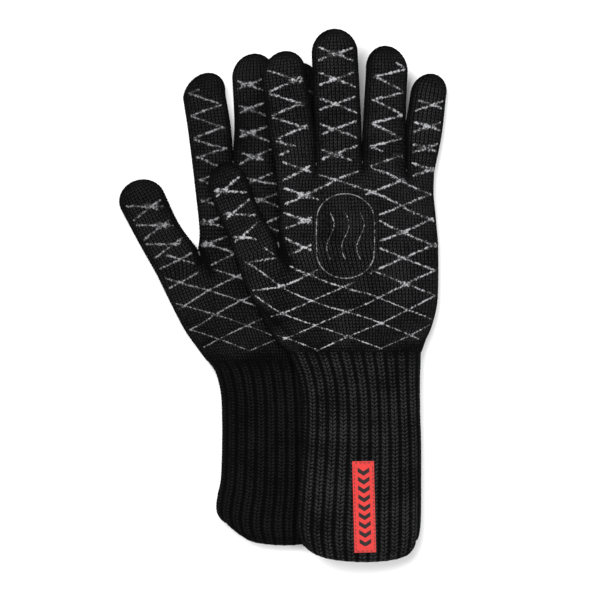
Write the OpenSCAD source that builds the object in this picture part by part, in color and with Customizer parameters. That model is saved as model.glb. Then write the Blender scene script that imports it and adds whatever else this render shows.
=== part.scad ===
// A pair of heat resistant knitted gloves with long ribbed cuffs, at rest on a table.
// The right-hand glove lies flat with its back up. The left-hand glove lies palm up,
// its thumb side on the right-hand glove and its little-finger side sloping down to
// the table. Each glove is an outer knit and a lining, with silicone grip lines
// printed on both faces. X runs across the hand, Y towards the fingertips, Z up.

/* [Fabric] */
// Thickness of the outer knit
knit_t = 1.7; // [1.2:0.1:2]
// Thickness of the lining
lining_t = 1.2; // [0.8:0.1:1.5]

/* [Puffed thickness] */
// Thickness of the palm from face to face
palm_t = 15; // [14:0.5:16]
// Thickness of a finger
finger_t = 14.5; // [13:0.5:15]
// Thickness of the cuff
cuff_t = 13.5; // [12:0.5:14.5]

/* [Silicone grip] */
// Width of a grip line
grip_w = 1.8; // [1:0.1:3]
// Height of a grip line above the knit
grip_h = 0.5; // [0.3:0.05:0.5]
// Half a diamond's width
diamond_x = 20.3; // [14:0.1:26]
// Half a diamond's height
diamond_y = 8.1; // [6:0.1:12]
// Clear border between the grip lines and the edge of a finger
grip_border = 3.4; // [2:0.1:5]

/* [Emblem] */
// Width of the oval emblem
emblem_w = 37; // [24:1:40]
// Length of the oval emblem
emblem_l = 56; // [40:1:60]

/* [Label] */
// Width of the sewn label
label_w = 13; // [8:0.5:14]
// Length of the sewn label
label_l = 59; // [30:1:60]
// Thickness of the sewn label
label_t = 0.5; // [0.3:0.05:0.5]

/* [Cuff edge] */
// Length of the bound edge round the cuff's opening
hem_l = 5; // [3:0.5:8]
// How far the bound edge stands out from the knit
hem_proud = 0.5; // [0.2:0.1:0.8]

/* [Hidden] */

// Colours
knit_colour = "#1d1d1e";
lining_colour = "#3a3a3c";
grip_colour = "#a9abad";
label_colour = "#e23a36";
thread_colour = "#7c1512";

// Clearances
layer_gap = 0.15;   // between the outer knit and the lining
joint_gap = 0.35;   // between the palm and a finger or the cuff
stack_gap = 0.8;    // between the two gloves
over = 60;          // how far a cutting solid runs past what it cuts
smooth = 48;        // $fn of true round surfaces
coarse = 32;        // $fn of the corners of a palm's outline

// How the left glove lies: level up to sag_from, then curving down, and a straight
// slope of sag_angle from sag_to on.
right_mid = palm_t / 2 + grip_h;
left_mid = right_mid + palm_t + 2 * grip_h + stack_gap;
sag_from = 28;
sag_to = 56;
sag_angle = 16.5;

function sag(x) =
    x < sag_from ? 0 :
    x < sag_to ? pow(x - sag_from, 2) * tan(sag_angle) / (2 * (sag_to - sag_from)) :
    tan(sag_angle) * (x - (sag_from + sag_to) / 2);
function slope(x) =
    x < sag_from ? 0 :
    x < sag_to ? atan((x - sag_from) * tan(sag_angle) / (sag_to - sag_from)) :
    sag_angle;

// Facet lines, across X, of each glove's middle surface, and its height at x
LEFT_LINES = [-60, 32, 44.5, 58.5, 120];
RIGHT_LINES = [-120, 60];
function lines(left) = left ? LEFT_LINES : RIGHT_LINES;
function mid_z(left, x) = left ? left_mid - sag(x) : right_mid;
function facet_roll(left, k) =
    let (l = lines(left))
    !left || k == 0 ? 0 :
    atan((mid_z(left, l[k]) - mid_z(left, l[k + 1])) / (l[k + 1] - l[k]));

// Each digit: centre of its root, centre of its rounded tip, width, and the place of
// a grip crossing across and along it
LEFT_DIGITS = [
    [[-15, 29], [-35.2, 72.4], 25.5, [0, 4]],
    [[9.3, 87], [0.6, 144.5], 26.4, [10.3, 13.6]],
    [[37.4, 88.5], [34.2, 158], 28.2, [0, 4]],
    [[64.7, 88], [67.6, 149.5], 25.4, [7.4, 13]],
    [[89, 86.5], [94.25, 134], 21.8, [4.5, 6]]
];
RIGHT_DIGITS = [
    [[-69, 21], [-91.7, 61.8], 26.6, [0, 4]],
    [[-45.5, 88], [-50.4, 131], 27.0, [10.3, 2]],
    [[-17.4, 88], [-18.6, 144], 27.4, [0, 4]],
    [[9.6, 87], [11.5, 138.5], 25.2, [7.4, 13]],
    [[33.4, 84], [36, 117], 21.0, [4.5, 6]]
];
function digits(left) = left ? LEFT_DIGITS : RIGHT_DIGITS;

// Corners of the hand: centre x, centre y, radius
LEFT_HAND = [[7, 96, 8], [7, 42, 8], [20.5, -60, 8]];
LEFT_HEEL = [[90.6, 96, 8], [81, 8, 20], [80.5, -30, 11], [80.7, -60, 8]];
LEFT_THUMB_ROOT = [
    [-21.8, 32.4, 8], [-13.2, 36.4, 8], [-5.5, -8, 10], [4, -30, 8], [21, -53.3, 8], [21, 20, 8]
];
LEFT_WRIST = -52;
RIGHT_HAND = [[-50.5, 96, 8], [-47, 42, 8], [-32, -64, 8]];
RIGHT_HEEL = [[36.3, 96, 8], [29, 8, 15.5], [27, -30, 13], [28.5, -64, 8]];
RIGHT_THUMB_ROOT = [
    [-76.7, 23.6, 8], [-67.3, 28.8, 8], [-60, -12, 10], [-49, -33, 8], [-31.5, -57.3, 8], [-31.5, 20, 8]
];
RIGHT_WRIST = -56;
function hand(left) = left ? LEFT_HAND : RIGHT_HAND;
function heel(left) = left ? LEFT_HEEL : RIGHT_HEEL;
function thumb_root(left) = left ? LEFT_THUMB_ROOT : RIGHT_THUMB_ROOT;
function wrist(left) = left ? LEFT_WRIST : RIGHT_WRIST;
knuckle_end = 92;
root_side = 2.6;
edge_ease = 3;
arc_steps = 14;

// Cuffs: centres of the round edges and the lines between, across X, and the open end
LEFT_CUFF = [20, 32, 44.5, 58.5, 83];
RIGHT_CUFF = [-32.5, 31];
LEFT_CUFF_END = -172.1;
RIGHT_CUFF_END = -160.5;
function cuff_lines(left) = left ? LEFT_CUFF : RIGHT_CUFF;
function cuff_end(left) = left ? LEFT_CUFF_END : RIGHT_CUFF_END;
LEFT_LABEL = [51.5, -137];
RIGHT_LABEL = [2, -125];
function label_at(left) = left ? LEFT_LABEL : RIGHT_LABEL;
LEFT_EMBLEM = [40, 38];
RIGHT_EMBLEM = [-4, 34];
function emblem_at(left) = left ? LEFT_EMBLEM : RIGHT_EMBLEM;
LEFT_GRIP = [34.5, 76];
RIGHT_GRIP = [-18.5, 68];
function grip_at(left) = left ? LEFT_GRIP : RIGHT_GRIP;
grip_start = 2;
stitch_l = 2.4;
stitch_gap = 1.2;
stitch_w = 0.4;
stitch_inset = 1.1;

function inset(layer) = layer == 0 ? 0 : layer == 1 ? knit_t : layer == 2 ? knit_t + layer_gap :
    knit_t + layer_gap + lining_t;

// ---- placing ----

// Puts children into the tilted plane of a digit, with +Y along it from its root
module at_digit(left, k) {
    d = digits(left)[k];
    roll = left ? slope(d[0][0]) : 0;
    across = (d[1][0] - d[0][0]) / cos(roll);
    lean = atan2(across, d[1][1] - d[0][1]);
    translate([d[0][0], d[0][1], mid_z(left, d[0][0])])
        rotate([0, roll, 0])
            rotate([0, 0, -lean])
                children();
}

function digit_length(left, k) =
    let (d = digits(left)[k], roll = left ? slope(d[0][0]) : 0)
    norm([(d[1][0] - d[0][0]) / cos(roll), d[1][1] - d[0][1]]);

// ---- shapes ----

// A flat tube's section: a rectangle with round ends, w wide and t thick
module round_bar(w, t) {
    square([w - t, t], center = true);
    for (s = [-1, 1])
        translate([s * (w - t) / 2, 0]) circle(d = t, $fn = smooth);
}

// A closed flat finger from y = 0 (or start) to its rounded tip
module finger_solid(w, t, start, length) {
    translate([0, start, 0])
        rotate([-90, 0, 0])
            linear_extrude(length - start)
                round_bar(w, t);
    translate([0, length, 0])
        rotate_extrude($fn = smooth) {
            translate([0, -t / 2]) square([(w - t) / 2, t]);
            translate([(w - t) / 2, 0])
                intersection() {
                    circle(d = t, $fn = smooth);
                    translate([0, -t]) square([t, 2 * t]);
                }
        }
}

// One layer of a finger, open at its root: outer and inner are its two insets
module finger_layer(left, k, outer, inner) {
    w = digits(left)[k][2];
    at_digit(left, k)
        difference() {
            finger_solid(w - 2 * outer, finger_t - 2 * outer, 0, digit_length(left, k));
            finger_solid(w - 2 * inner, finger_t - 2 * inner, -1, digit_length(left, k));
        }
}

// The section across X of a band, 2 * half thick, that follows the middle surface
// through the given x positions and has round ends
module band(left, xs, half) {
    n = len(xs);
    tilt = [for (k = [0 : n - 2])
        atan((mid_z(left, xs[k]) - mid_z(left, xs[k + 1])) / (xs[k + 1] - xs[k]))];
    before = [for (k = [0 : n - 1]) tilt[max(k - 1, 0)]];
    after = [for (k = [0 : n - 1]) tilt[min(k, n - 2)]];
    reach = [for (k = [0 : n - 1]) half / cos((after[k] - before[k]) / 2)];
    lean = [for (k = [0 : n - 1]) (before[k] + after[k]) / 2];
    face = [for (k = [0 : n - 1]) reach[k] * [sin(lean[k]), cos(lean[k])]];
    centre = [for (x = xs) [x, mid_z(left, x)]];
    arc = [for (i = [1 : arc_steps - 1]) 180 * i / arc_steps];
    polygon(concat(
        [for (k = [0 : n - 1]) centre[k] + face[k]],
        [for (a = arc) centre[n - 1] + half * [sin(a + lean[n - 1]), cos(a + lean[n - 1])]],
        [for (k = [n - 1 : -1 : 0]) centre[k] - face[k]],
        [for (a = arc) centre[0] - half * [sin(a + lean[0]), cos(a + lean[0])]]
    ));
}

// The hand's outline, drawn in by side_in
module hand_outline(left, side_in) {
    hull() for (p = concat(hand(left), heel(left)))
        translate([p[0], p[1]]) circle(r = p[2] - side_in, $fn = coarse);
    hull() for (p = thumb_root(left))
        translate([p[0], p[1]]) circle(r = p[2] - side_in, $fn = coarse);
}

module hand_slab(left, side_in, face_in) {
    intersection() {
        linear_extrude(3 * over, center = true) hand_outline(left, side_in);
        translate([0, 200, 0])
            rotate([90, 0, 0])
                linear_extrude(400) band(left, lines(left), palm_t / 2 - face_in);
    }
}

// The hand with its edges eased, every face drawn in by an amount
module hand_solid(left, by) {
    hand_slab(left, by, by + edge_ease);
    hand_slab(left, by + edge_ease, by);
}

// What the fingers and the cuff take away from the hand
module hand_ends(left) {
    for (k = [0 : 4])
        at_digit(left, k)
            translate([-digits(left)[k][2] / 2 - root_side, -joint_gap, -over / 2])
                cube([digits(left)[k][2] + 2 * root_side, over, over]);
    translate([-200, wrist(left) - over, -over]) cube([400, over, 3 * over]);
    translate([-200, knuckle_end, -over]) cube([400, over, 3 * over]);
}

module palm_layer(left, outer, inner) {
    difference() {
        hand_solid(left, outer);
        hand_solid(left, inner);
        hand_ends(left);
    }
}

module cuff_section(left, by) {
    band(left, cuff_lines(left), cuff_t / 2 - by);
}

module cuff_layer(left, outer, inner, from, to) {
    translate([0, from, 0])
        rotate([90, 0, 0])
            linear_extrude(from - to)
                difference() {
                    cuff_section(left, outer);
                    cuff_section(left, inner);
                }
}

// A grip crossing lattice: bars through [x, y] and its repeats, within reach
module lattice(x, y, reach) {
    lean = atan2(diamond_y, diamond_x);
    count = ceil(reach / diamond_y);
    translate([x, y])
        for (side = [-1, 1], k = [-count : count])
            translate([0, 2 * diamond_y * k])
                rotate(side * lean)
                    square([2.2 * reach, grip_w], center = true);
}

// The grip lines of a finger, standing on the knit of both its faces
module finger_grip(left, k) {
    d = digits(left)[k];
    w = d[2] - 2 * grip_border;
    run = digit_length(left, k);
    at_digit(left, k)
        difference() {
            intersection() {
                finger_solid(d[2] + 2 * grip_h, finger_t + 2 * grip_h, 0, run);
                linear_extrude(2 * finger_t, center = true)
                    intersection() {
                        lattice(d[3][0], d[3][1], run + 10);
                        translate([-w / 2, grip_start]) square([w, run - grip_start]);
                    }
            }
            finger_solid(d[2], finger_t, -1, run);
        }
}

// Everything above the hand's middle surface, or with face = -1 everything below it
module half_space(left, face) {
    l = lines(left);
    n = len(l);
    translate([0, 200, 0])
        rotate([90, 0, 0])
            linear_extrude(400)
                polygon(concat(
                    [for (x = l) [x, mid_z(left, x)]],
                    [[l[n - 1], face * 2 * over], [l[0], face * 2 * over]]
                ));
}

// Stands a flat drawing, grip_h high, on one face of the hand
module on_hand(left, face) {
    if (left)
        difference() {
            intersection() {
                hand_solid(left, -grip_h);
                half_space(left, face);
                linear_extrude(4 * over, center = true) children();
            }
            hand_solid(left, 0);
        }
    else
        translate([0, 0, right_mid + face * (palm_t + grip_h) / 2])
            linear_extrude(grip_h, center = true) children();
}

// The area of the hand that carries grip lines
module grip_area(left) {
    x0 = left ? 3 : -49.5;
    x1 = left ? 93 : 35;
    bottom = wrist(left) + 12;
    polygon([
        [x0, 82], [x1, 80], [x1 + 2, 12], [x1 - 7, bottom], [x0 + 17, bottom],
        [x0 - 13, bottom + 30], [x0 - 21, bottom + 56], [x0 - 8, bottom + 67], [x0, bottom + 74]
    ]);
}

module emblem_border(grow) {
    w = emblem_w + 2 * grow;
    h = emblem_l + 2 * grow;
    rotate(90) round_bar(h, w);
}

// An oval ring round three upright heat waves
module emblem_drawing() {
    difference() {
        emblem_border(0);
        emblem_border(-grip_w);
    }
    wave_l = 30;
    swing = 2;
    steps = 12;
    for (c = [-9, 0, 9])
        translate([c, -wave_l / 2])
            polygon(concat(
                [for (i = [0 : steps]) [swing * sin(360 * i / steps) - grip_w / 2, wave_l * i / steps]],
                [for (i = [steps : -1 : 0]) [swing * sin(360 * i / steps) + grip_w / 2, wave_l * i / steps]]
            ));
}

module palm_grip(left, face) {
    printed_face = left ? 1 : -1;
    on_hand(left, face)
        difference() {
            intersection() {
                lattice(grip_at(left)[0], grip_at(left)[1], 190);
                grip_area(left);
            }
            if (face == printed_face) translate(emblem_at(left)) emblem_border(2.5);
        }
}

module emblem(left) {
    on_hand(left, left ? 1 : -1)
        translate(emblem_at(left)) emblem_drawing();
}

// Puts children, drawn in the XY plane, on the printed face of the cuff at its label
module at_label(left) {
    p = label_at(left);
    face = left ? 1 : -1;
    k = 2;
    roll = left ? facet_roll(left, k) : 0;
    x0 = left ? LEFT_CUFF[k] : p[0];
    translate([x0, p[1], mid_z(left, x0)])
        rotate([0, roll, 0])
            translate([(p[0] - x0) / cos(roll), 0, face * cuff_t / 2])
                mirror([0, 0, face > 0 ? 0 : 1])
                    children();
}

module label(left) {
    at_label(left)
        translate([-label_w / 2, -label_l / 2, 0]) cube([label_w, label_l, label_t]);
}

module stitch_row(length) {
    pitch = stitch_l + stitch_gap;
    count = floor((length - stitch_l) / pitch) + 1;
    for (i = [0 : count - 1])
        translate([-stitch_w / 2, (i - (count - 1) / 2) * pitch - stitch_l / 2, label_t])
            cube([stitch_w, stitch_l, stitch_w / 2]);
}

module label_stitching(left) {
    at_label(left)
        for (s = [-1, 1]) {
            translate([s * (label_w / 2 - stitch_inset), 0, 0])
                stitch_row(label_l - 2 * stitch_inset - stitch_l);
            translate([0, s * (label_l / 2 - stitch_inset), 0])
                rotate([0, 0, 90]) stitch_row(label_w - 2 * stitch_inset - stitch_l);
        }
}

// ---- sub-parts ----

module palm_knit(left) { color(knit_colour) palm_layer(left, inset(0), inset(1)); }
module palm_lining(left) { color(lining_colour) palm_layer(left, inset(2), inset(3)); }
module palm_grip_back(left) { color(grip_colour) palm_grip(left, left ? -1 : 1); }
module palm_grip_front(left) { color(grip_colour) palm_grip(left, left ? 1 : -1); }
module emblem_part(left) { color(grip_colour) emblem(left); }
module finger_knit(left, k) { color(knit_colour) finger_layer(left, k, inset(0), inset(1)); }
module finger_lining(left, k) { color(lining_colour) finger_layer(left, k, inset(2), inset(3)); }
module finger_grip_part(left, k) { color(grip_colour) finger_grip(left, k); }
module cuff_knit(left) {
    color(knit_colour)
        cuff_layer(left, inset(0), inset(1), wrist(left) - joint_gap, cuff_end(left) + hem_l);
}
module cuff_lining(left) {
    color(lining_colour)
        cuff_layer(left, inset(2), inset(3), wrist(left) - joint_gap, cuff_end(left) + hem_l);
}
module cuff_hem(left) {
    color(knit_colour)
        cuff_layer(left, -hem_proud, inset(3), cuff_end(left) + hem_l, cuff_end(left));
}
module label_part(left) { color(label_colour) label(left); }
module label_thread(left) { color(thread_colour) label_stitching(left); }

palm_knit(false);  // right_palm_knit
palm_lining(false);  // right_palm_lining
palm_grip_back(false);  // right_palm_grip_back
palm_grip_front(false);  // right_palm_grip_front
emblem_part(false);  // right_emblem
finger_knit(false, 0);  // right_thumb_knit
finger_lining(false, 0);  // right_thumb_lining
finger_grip_part(false, 0);  // right_thumb_grip
finger_knit(false, 1);  // right_index_knit
finger_lining(false, 1);  // right_index_lining
finger_grip_part(false, 1);  // right_index_grip
finger_knit(false, 2);  // right_middle_knit
finger_lining(false, 2);  // right_middle_lining
finger_grip_part(false, 2);  // right_middle_grip
finger_knit(false, 3);  // right_ring_knit
finger_lining(false, 3);  // right_ring_lining
finger_grip_part(false, 3);  // right_ring_grip
finger_knit(false, 4);  // right_little_knit
finger_lining(false, 4);  // right_little_lining
finger_grip_part(false, 4);  // right_little_grip
cuff_knit(false);  // right_cuff_knit
cuff_lining(false);  // right_cuff_lining
cuff_hem(false);  // right_cuff_hem
label_part(false);  // right_label
label_thread(false);  // right_label_stitching
palm_knit(true);  // left_palm_knit
palm_lining(true);  // left_palm_lining
palm_grip_back(true);  // left_palm_grip_back
palm_grip_front(true);  // left_palm_grip_front
emblem_part(true);  // left_emblem
finger_knit(true, 0);  // left_thumb_knit
finger_lining(true, 0);  // left_thumb_lining
finger_grip_part(true, 0);  // left_thumb_grip
finger_knit(true, 1);  // left_index_knit
finger_lining(true, 1);  // left_index_lining
finger_grip_part(true, 1);  // left_index_grip
finger_knit(true, 2);  // left_middle_knit
finger_lining(true, 2);  // left_middle_lining
finger_grip_part(true, 2);  // left_middle_grip
finger_knit(true, 3);  // left_ring_knit
finger_lining(true, 3);  // left_ring_lining
finger_grip_part(true, 3);  // left_ring_grip
finger_knit(true, 4);  // left_little_knit
finger_lining(true, 4);  // left_little_lining
finger_grip_part(true, 4);  // left_little_grip
cuff_knit(true);  // left_cuff_knit
cuff_lining(true);  // left_cuff_lining
cuff_hem(true);  // left_cuff_hem
label_part(true);  // left_label
label_thread(true);  // left_label_stitching
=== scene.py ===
"""The looks of a pair of heat resistant knitted gloves.

Each glove is drawn flat, in millimetres, as ring grids: a grid's rows are courses of
stitches and its columns run along the wales, over the top face and back under the
lower one. place() then lays the flat drawing where the CAD has the glove.
"""
import math
import bmesh
import bpy
import numpy as np
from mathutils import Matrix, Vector
from mathutils.bvhtree import BVHTree


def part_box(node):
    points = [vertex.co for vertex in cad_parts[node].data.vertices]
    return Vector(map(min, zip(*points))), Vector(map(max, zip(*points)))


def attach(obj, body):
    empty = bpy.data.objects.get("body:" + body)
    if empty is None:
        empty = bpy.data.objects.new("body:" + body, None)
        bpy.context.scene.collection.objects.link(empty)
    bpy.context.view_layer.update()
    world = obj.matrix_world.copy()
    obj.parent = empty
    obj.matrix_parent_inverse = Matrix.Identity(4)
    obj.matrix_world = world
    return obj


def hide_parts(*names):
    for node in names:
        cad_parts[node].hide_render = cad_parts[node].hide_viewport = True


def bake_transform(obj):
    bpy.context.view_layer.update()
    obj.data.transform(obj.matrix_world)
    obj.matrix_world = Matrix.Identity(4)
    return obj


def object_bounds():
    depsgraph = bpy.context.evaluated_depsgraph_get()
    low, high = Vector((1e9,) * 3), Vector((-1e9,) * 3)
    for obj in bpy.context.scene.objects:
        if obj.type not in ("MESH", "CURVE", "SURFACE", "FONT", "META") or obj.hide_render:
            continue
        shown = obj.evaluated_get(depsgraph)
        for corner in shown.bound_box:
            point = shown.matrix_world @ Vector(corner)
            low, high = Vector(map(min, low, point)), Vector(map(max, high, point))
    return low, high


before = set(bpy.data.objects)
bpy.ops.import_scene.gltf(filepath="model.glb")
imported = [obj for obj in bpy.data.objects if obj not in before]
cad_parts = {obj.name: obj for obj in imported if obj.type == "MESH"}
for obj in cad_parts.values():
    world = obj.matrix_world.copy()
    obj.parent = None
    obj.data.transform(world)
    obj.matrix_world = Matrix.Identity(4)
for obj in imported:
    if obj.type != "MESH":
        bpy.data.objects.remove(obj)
cad_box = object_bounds()

MM = 0.001
DIGITS = ["thumb", "index", "middle", "ring", "little"]

# Fabric, in mm
WALE = 2.4            # width of a stitch over the knuckles
COURSE = 2.1          # height of a stitch
WALE_COLS = 4         # grid columns in a stitch
COURSE_ROWS = 3       # grid rows in a stitch
LOW_WALES = 0.8       # stitches across the heel of the hand, for each one that starts there
STITCH_H = 0.42       # how far a stitch stands out
RIBS = 13             # ribs across one face of a cuff
RIB_H = 0.7           # how far a rib stands out
RIB_LEG = 0.9         # how much of a rib's width its stitches fill
RIB_FADE = 5.0        # courses over which the ribs rise out of the palm
PALM_T = 7.4          # half the palm's thickness
DIGIT_T = 7.2         # half a digit's thickness
CUFF_T = 6.5          # half the cuff's thickness
LOW_L = 72.0          # from the wrist to the thumb's crotch
HIGH_L = 50.0         # from there to the roots of the fingers
CUFF_L = 118.0        # from the mouth to the wrist
EDGE = 9.5            # how far in from its edge a palm or a cuff is rounded
SPLIT = 20.0          # how far before a crotch the hand starts to part
WALL = 2.4            # from the knit's face to the lining
BEND = 24.0           # length of fabric below the wrist joint, for a point in blend_cuff that is not used

# Silicone grip, in mm
GRIP_W = 1.9          # width of a line over the fingers
GRIP_H = 0.5          # how thick a line is
HEEL_GRIP = 0.56      # share of that width that a line has at the wrist
HEEL_REACH = 75.0     # from there to where the lines have their full width
EMBLEM_W = 0.85       # width of the emblem's lines
GRIP_LIFT = 0.25      # how far the underside of the grip is above the knit's middle
GRID_X = 20.3         # half a diamond's width
GRID_Y = 8.1          # half a diamond's height
GRID_LEAN = math.atan2(GRID_Y, GRID_X)
TIP_CLEAR = 11.5      # no grip this close to a fingertip
STEP = 0.6            # distance between the points of a grip line
ROOT_BLEND = 12.0     # length over which a digit's print leaves the palm's
TEAR = 0.9            # the print breaks off at a root where the two lattices are this far out
SLIP_REACH = 13.0     # how far around a measured slip of the print holds

# How the left glove droops, as in part.scad
SAG_FROM = 28.0
SAG_TO = 56.0
SAG_SLOPE = math.tan(math.radians(16.5))

# The gloves, in mm from the middle of the pair. "up" is 1 where the palm faces up and -1 where
# it faces down, and "sags" says whether the glove droops. A digit is a list of pairs, left edge
# and right edge, from its root to where its tip starts to round, then the tip. The sides, the
# cuff's sides and the mouth are points along their edges.
# "grid" is one crossing of the grip's diamonds, "grid_end" is how far down they reach, and
# "emblem" is its centre. A digit has a print of its own: the palm's crossing (columns, rows
# from "grid") that it carries on from, where that lies, the step to the next, and a lean in degrees.
# "slips" are (x, y, dx, dy): how far the print has moved with the fabric near x, y.
# "creases" are (x0, y0, x1, y1, depth, width).
LEFT = {
    "side": "left", "up": 1, "sags": True,
    "thumb": [((-29.3, 22.5), (-2.8, 34.5)), ((-37.0, 43.0), (-13.6, 52.4)),
              ((-46.6, 65.5), (-22.4, 74.0)), (-39.4, 84.4)],
    "index": [((-4.5, 86), (22.1, 85.8)), ((-9.1, 108), (20.6, 110)),
              ((-13.0, 141), (14.8, 144)), (1.6, 157.6)],
    "middle": [((22.1, 85.8), (51.7, 87.1)), ((21.1, 115), (50.8, 115)),
               ((19.5, 156), (48.7, 157)), (33.8, 172.1)],
    "ring": [((51.7, 87.1), (80.6, 81.9)), ((53.0, 112), (80.0, 113)),
             ((54.9, 146), (81.3, 146)), (67.2, 161.6)],
    "little": [((80.6, 81.9), (98.6, 80)), ((80.8, 107), (103.7, 104.5)),
               ((84.3, 133), (106.6, 130)), (98.4, 144.0)],
    "thumb_side": [(3.9, -37), (-5.5, -27.3), (-13.4, -13), (-20.4, 0), (-25.2, 10.4), (-29.3, 22.5)],
    "index_side": [(-2.8, 34.5), (-1.6, 46), (-2.8, 66), (-4.5, 86)],
    "heel_side": [(90.4, -37), (93.4, -29), (97.2, -20), (100.6, -6), (101.4, 12), (101.2, 34.5)],
    "little_side": [(101.2, 34.5), (99.6, 52), (98.3, 66), (98.6, 80)],
    "cuff_thumb": [(13.2, -161.5), (10.3, -150), (10.3, -140), (11.6, -122), (13.2, -98),
                   (13.9, -80), (13.2, -63), (10.0, -49.4), (3.9, -37)],
    "cuff_heel": [(87.2, -161.5), (89.5, -148), (89.8, -120), (89.8, -95), (89.2, -76),
                  (89.1, -52), (90.4, -37)],
    "mouth": [(13.2, -161.5), (20.2, -166.4), (31.2, -169.9), (50, -171.8), (68, -171.3),
              (80, -168.4), (87.2, -161.5)],
    "grid": (34.5, 75.4), "grid_end": -30.4, "emblem": (40.0, 38.0),
    "prints": {"thumb": ((-3, -3), (-32.5, 52.0), (-6.0, 14.9), 19),
               "index": ((-1, 7), (11.7, 123.5), (-2.4, 15.3), 2),
               "middle": ((0, 6), (33.8, 123.2), (0.3, 16.2), 0),
               "ring": ((1, 7), (57.4, 126.2), (1.1, 15.1), -6),
               "little": ((3, 5), (93.5, 109.5), (2.1, 14.0), 3)},
    "slips": [(14, 67, 0.8, -3.9), (14, 27, 0, -4.5), (14, 3, 5.6, -6.6), (14, -29, 10, -6),
              (34, 91, -1.5, -0.6), (34, 59, 0.8, -1), (34, -22, 6.5, -5), (55, 59, 1.8, -0.7),
              (55, -20, 7.5, -4.5), (75, 35, 1.2, -2.8), (75, 0, 4.5, -4.2), (95, 59, -1.5, -2),
              (95, 10, 1.6, -2.5), (-6, 11, 6.4, -7.3), (-26, 19, 5.6, 4.0), (-26, 38, -1, 2)],
    "creases": [(-3, 38, 4, 20, 2.4, 4.0), (-15, -7, 10, -29, 1.4, 2.2), (-8, -20, 9, -14, 1.0, 2.0),
                (92, -30, 70, -38, 0.9, 3.0), (2, 60, 3, 84, 0.8, 3.5)],
}
RIGHT = {
    "side": "right", "up": -1, "sags": False,
    "thumb": [((-81.6, 13.5), (-54.6, 28.8)), ((-92.6, 33), (-67.6, 46.5)),
              ((-104.4, 55), (-78.0, 68.5)), (-98.0, 73.4)],
    "index": [((-58.6, 88), (-32.0, 87.8)), ((-61.2, 108), (-33.8, 110)),
              ((-64.4, 128.5), (-37.4, 132)), (-49.4, 144.6)],
    "middle": [((-32.0, 87.8), (-3.8, 87.5)), ((-30.9, 112), (-4, 112)),
               ((-32.3, 142), (-5, 143)), (-18.2, 157.2)],
    "ring": [((-3.8, 87.5), (22.8, 84)), ((-2.6, 110), (23, 109)),
             ((-1.2, 138), (24, 137)), (12, 151.4)],
    "little": [((22.8, 84), (44.5, 80)), ((24.4, 104), (45.4, 101.5)),
               ((25.4, 118), (46.2, 116)), (37, 128)],
    "thumb_side": [(-48.7, -43), (-55.0, -34.5), (-62.5, -24), (-68, -14), (-75, 0), (-81.6, 13.5)],
    "index_side": [(-54.6, 28.8), (-53.6, 42), (-56.0, 66), (-58.6, 88)],
    "heel_side": [(38.5, -43), (41, -34), (43.6, -20), (44.6, -4), (44.6, 12), (44.6, 28.8)],
    "little_side": [(44.6, 28.8), (44.6, 46), (44.6, 64), (44.5, 80)],
    "cuff_thumb": [(-36.0, -149.4), (-41.0, -144), (-42.6, -138.5), (-41.6, -130), (-39.6, -120),
                   (-38.8, -100), (-38.8, -80), (-39.6, -64), (-43.0, -50.5), (-48.7, -43)],
    "cuff_heel": [(33, -151), (37, -142), (38, -120), (38.2, -100), (38, -80), (37.6, -58), (38.5, -43)],
    "mouth": [(-36.0, -149.4), (-28.5, -155.0), (-20, -159.6), (-6, -161.7), (10, -161.7),
              (24, -159), (33, -151)],
    "grid": (-46.0, -13.0), "grid_end": -37.8, "emblem": (-4.0, 34.0),
    "prints": {"thumb": ((-1, 9), (-77.7, 45.2), (-7.0, 12.4), 17),
               "index": ((1, 17), (-38.6, 109.0), (-0.9, 14.8), 0),
               "middle": ((2, 18), (-22.0, 120.9), (-0.4, 15.8), 0),
               "ring": ((4, 18), (20.0, 116.0), (0.5, 15.5), 0),
               "little": ((5, 17), (36.5, 104.0), (0.8, 15.0), 0)},
    "slips": [(-66, 11, 0.8, -4), (-66, 28, 1.5, -6), (-66, -21, 8, -2), (-46, -29, 5.5, 0.8),
              (-46, 3, -1, 0.8), (-46, 19, -6, -1), (-46, 36, -1, -2), (-46, 60, -3.5, -6),
              (-46, 88, -7.5, -10),
              (-25, 108, -10.7, -13), (-5, 100, -13, -10), (-25, 11, -4.5, 1), (-25, -21, 1.7, 1.6),
              (-25, -37, 5.7, 0.7), (10, 60, -8, -6), (20, 0, 0, 0)],
    "creases": [(-54.6, 30, -46, 16, 2.2, 4.0), (-50, -32, -28, -22, 1.2, 2.4),
                (-62, -18, -44, -24, 0.9, 2.2)],
}


# ---- where a glove lies ----

def middle_height(glove):
    """Height of the level part of a glove's middle surface, in mm, from the CAD."""
    low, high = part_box(glove["side"] + "_index_knit")
    return (low[2] + high[2]) / 2 / MM


def droop(glove, x):
    """How far the middle surface has dropped at x, and its slope there."""
    if not glove["sags"]:
        return np.zeros_like(x), np.zeros_like(x)
    curved = np.clip(x - SAG_FROM, 0, SAG_TO - SAG_FROM)
    drop = curved**2 * SAG_SLOPE / (2 * (SAG_TO - SAG_FROM)) + np.maximum(x - SAG_TO, 0) * SAG_SLOPE
    return drop, curved * SAG_SLOPE / (SAG_TO - SAG_FROM)


def place(glove, flat):
    """Flat points in mm, laid where the glove lies, in metres."""
    x, y, z = flat[..., 0], flat[..., 1], flat[..., 2]
    drop, slope = droop(glove, x)
    size = np.sqrt(1 + slope**2)
    return np.stack([x + z * slope / size, y, glove["level"] - drop + z / size], -1) * MM


# ---- curves and sections ----

def smooth(t):
    t = np.clip(t, 0, 1)
    return t * t * (3 - 2 * t)


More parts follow.
